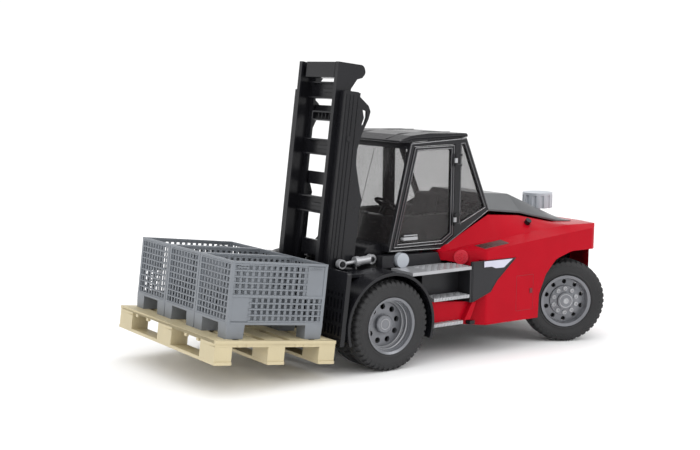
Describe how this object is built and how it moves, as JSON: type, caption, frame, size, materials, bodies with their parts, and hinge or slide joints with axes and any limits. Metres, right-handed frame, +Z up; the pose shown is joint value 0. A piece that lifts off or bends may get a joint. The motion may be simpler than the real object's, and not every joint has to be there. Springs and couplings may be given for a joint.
{
  "type": "toy forklift",
  "caption": "Toy heavy forklift with tilting two-stage mast, sliding forks, steered rear wheels and opening cab doors, carrying a pallet of mesh boxes.",
  "frame": {"origin": "on the ground, under the middle of the whole object's box", "axes": "+Z up, -Y forward along the forks, +X to the driver's left"},
  "size_m": [0.1752, 0.399, 0.2338],
  "materials": {
    "black_plastic": "semi-gloss moulded",
    "dark_plastic": "satin moulded",
    "steel": "ground pin",
    "red_plastic": "gloss moulded",
    "lamp_plastic": "pale gloss insert",
    "grille_plastic": "fine mesh",
    "silver_plastic": "silver-grey satin",
    "glazing": "smoky clear plastic",
    "knob_plastic": "grey satin",
    "tyre": "matt rubber",
    "pallet_plastic": "wood-coloured moulded",
    "box_plastic": "blue-grey moulded"
  },
  "bodies": {
    "chassis": {"chassis_frame": "black_plastic", "front_axle": "steel", "mast_pins": "steel", "body_shell": "red_plastic", "side_panels": "dark_plastic", "lamp_inserts": "lamp_plastic", "vent_grilles": "grille_plastic", "nose_caps": "red_plastic", "shelf_knobs": "black_plastic", "steps": "silver_plastic", "cowl": "black_plastic", "hood": "dark_plastic", "cab_frame": "black_plastic", "cab_glazing": "glazing", "roof": "black_plastic", "dashboard": "black_plastic", "seat": "black_plastic", "rear_axle": "black_plastic", "fender_left": "black_plastic", "fender_right": "black_plastic", "side_cover_left": "dark_plastic", "side_cover_right": "dark_plastic"},
    "steering_wheel": {"steering_wheel": "black_plastic"},
    "outer_mast": {"outer_channel_left": "black_plastic", "outer_channel_right": "black_plastic", "outer_crossbars": "black_plastic"},
    "inner_mast": {"inner_channel_left": "black_plastic", "inner_channel_right": "black_plastic", "inner_crossbars": "black_plastic"},
    "carriage": {"carriage": "black_plastic", "carriage_rollers": "black_plastic"},
    "fork_left": {"fork_left": "black_plastic"},
    "fork_right": {"fork_right": "black_plastic"},
    "pallet": {"pallet": "pallet_plastic"},
    "mesh_box_1": {"mesh_box_1": "box_plastic"},
    "mesh_box_2": {"mesh_box_2": "box_plastic"},
    "mesh_box_3": {"mesh_box_3": "box_plastic"},
    "barrel_left": {"tilt_barrel_left": "silver_plastic"},
    "barrel_right": {"tilt_barrel_right": "silver_plastic"},
    "rod_left": {"tilt_rod_left": "silver_plastic"},
    "rod_right": {"tilt_rod_right": "silver_plastic"},
    "tilt_knob": {"tilt_knob": "knob_plastic"},
    "door_left": {"door_left": "black_plastic", "door_glass_left": "glazing", "door_handle_left": "silver_plastic"},
    "door_right": {"door_right": "black_plastic", "door_glass_right": "glazing", "door_handle_right": "silver_plastic"},
    "front_wheel_left": {"front_rim_left": "silver_plastic", "front_tyres_left": "tyre"},
    "front_wheel_right": {"front_rim_right": "silver_plastic", "front_tyres_right": "tyre"},
    "knuckle_left": {"knuckle_left": "black_plastic"},
    "knuckle_right": {"knuckle_right": "black_plastic"},
    "rear_wheel_left": {"rear_rim_left": "silver_plastic", "rear_tyre_left": "tyre"},
    "rear_wheel_right": {"rear_rim_right": "silver_plastic", "rear_tyre_right": "tyre"},
    "tie_rod": {"tie_rod": "black_plastic"},
    "steering_knob": {"steering_knob": "knob_plastic"}
  },
  "joints": [
    {"name": "mast_tilt", "type": "hinge", "parent": "chassis", "child": "outer_mast", "pos_m": [0, -0.07555, 0.02386], "axis": [1, 0, 0], "range_deg": [0, 9]},
    {"name": "mast_lift", "type": "slide", "parent": "outer_mast", "child": "inner_mast", "axis": [0, 0.1162, 0.9932], "range_m": [-0.0115, 0.12]},
    {"name": "carriage_lift", "type": "slide", "parent": "inner_mast", "child": "carriage", "axis": [0, 0.1162, 0.9932], "range_m": [-0.0115, 0.12]},
    {"name": "fork_left_shift", "type": "slide", "parent": "carriage", "child": "fork_left", "axis": [1, 0, 0], "range_m": [-0.016, 0.016]},
    {"name": "fork_right_shift", "type": "slide", "parent": "carriage", "child": "fork_right", "axis": [1, 0, 0], "range_m": [-0.016, 0.016]},
    {"name": "pallet_slide", "type": "slide", "parent": "carriage", "child": "pallet", "axis": [0, -0.9932, 0.1162], "range_m": [0, 0.11]},
    {"name": "box_1_lift", "type": "slide", "parent": "pallet", "child": "mesh_box_1", "axis": [0, 0.1162, 0.9932], "range_m": [0, 0.06]},
    {"name": "box_2_lift", "type": "slide", "parent": "pallet", "child": "mesh_box_2", "axis": [0, 0.1162, 0.9932], "range_m": [0, 0.06]},
    {"name": "box_3_lift", "type": "slide", "parent": "pallet", "child": "mesh_box_3", "axis": [0, 0.1162, 0.9932], "range_m": [0, 0.06]},
    {"name": "barrel_left_pivot", "type": "hinge", "parent": "chassis", "child": "barrel_left", "pos_m": [0.041, -0.04036, 0.0812], "axis": [1, 0, 0], "range_deg": [-4, 2]},
    {"name": "rod_left_stroke", "type": "slide", "parent": "barrel_left", "child": "rod_left", "axis": [0, -0.998, -0.0629], "range_m": [0, 0.00885]},
    {"name": "barrel_right_pivot", "type": "hinge", "parent": "chassis", "child": "barrel_right", "pos_m": [-0.041, -0.04036, 0.0812], "axis": [1, 0, 0], "range_deg": [-4, 2]},
    {"name": "rod_right_stroke", "type": "slide", "parent": "barrel_right", "child": "rod_right", "axis": [0, -0.998, -0.0629], "range_m": [0, 0.00885]},
    {"name": "tilt_knob_turn", "type": "hinge", "parent": "chassis", "child": "tilt_knob", "pos_m": [0.05, -0.01736, 0.0796], "axis": [1, 0, 0], "range_deg": [0, 100]},
    {"name": "steer_left", "type": "hinge", "parent": "chassis", "child": "knuckle_left", "pos_m": [0.0606, 0.14704, 0.035], "axis": [0, 0, 1], "range_deg": [-4.7, 55.3]},
    {"name": "steer_right", "type": "hinge", "parent": "chassis", "child": "knuckle_right", "pos_m": [-0.0606, 0.14704, 0.035], "axis": [0, 0, 1], "range_deg": [-4.7, 55.3]},
    {"name": "tie_rod_pivot", "type": "hinge", "parent": "knuckle_left", "child": "tie_rod", "pos_m": [0.0653, 0.15699, 0.035], "axis": [0, 0, 1], "range_deg": [-55.3, 4.7]},
    {"name": "steering_knob_turn", "type": "hinge", "parent": "chassis", "child": "steering_knob", "pos_m": [0, 0.17464, 0.08], "axis": [0, 0, 1], "range_deg": [-4.7, 55.3]},
    {"name": "front_wheel_left_spin", "type": "hinge", "parent": "chassis", "child": "front_wheel_left", "pos_m": [0.06, -0.04636, 0.035], "axis": [1, 0, 0], "continuous": true},
    {"name": "front_wheel_right_spin", "type": "hinge", "parent": "chassis", "child": "front_wheel_right", "pos_m": [-0.06, -0.04636, 0.035], "axis": [1, 0, 0], "continuous": true},
    {"name": "rear_wheel_left_spin", "type": "hinge", "parent": "knuckle_left", "child": "rear_wheel_left", "pos_m": [0.0606, 0.14704, 0.035], "axis": [0.9041, -0.4274, 0], "continuous": true},
    {"name": "rear_wheel_right_spin", "type": "hinge", "parent": "knuckle_right", "child": "rear_wheel_right", "pos_m": [-0.0606, 0.14704, 0.035], "axis": [0.9041, -0.4274, 0], "continuous": true},
    {"name": "door_left_hinge", "type": "hinge", "parent": "chassis", "child": "door_left", "pos_m": [0.0476, 0.03849, 0.13], "axis": [0, 0, 1], "range_deg": [0, 80]},
    {"name": "door_right_hinge", "type": "hinge", "parent": "chassis", "child": "door_right", "pos_m": [-0.0476, 0.03849, 0.13], "axis": [0, 0, -1], "range_deg": [0, 80]},
    {"name": "steering_wheel_turn", "type": "hinge", "parent": "chassis", "child": "steering_wheel", "pos_m": [0, 0.00424, 0.118], "axis": [0, 0.5333, 0.8459], "continuous": true}
  ],
  "couplings": [
    {"joint": "carriage_lift", "follows": "mast_lift", "ratio": 1},
    {"joint": "tilt_knob_turn", "follows": "mast_tilt", "ratio": 11},
    {"joint": "steer_right", "follows": "steer_left", "ratio": 1},
    {"joint": "tie_rod_pivot", "follows": "steer_left", "ratio": -1},
    {"joint": "steering_knob_turn", "follows": "steer_left", "ratio": 1},
    {"joint": "barrel_left_pivot", "follows": "mast_tilt", "ratio": -0.16566},
    {"joint": "rod_left_stroke", "follows": "mast_tilt", "m_per_rad": 0.055688},
    {"joint": "barrel_right_pivot", "follows": "mast_tilt", "ratio": -0.16566},
    {"joint": "rod_right_stroke", "follows": "mast_tilt", "m_per_rad": 0.055688}
  ]
}
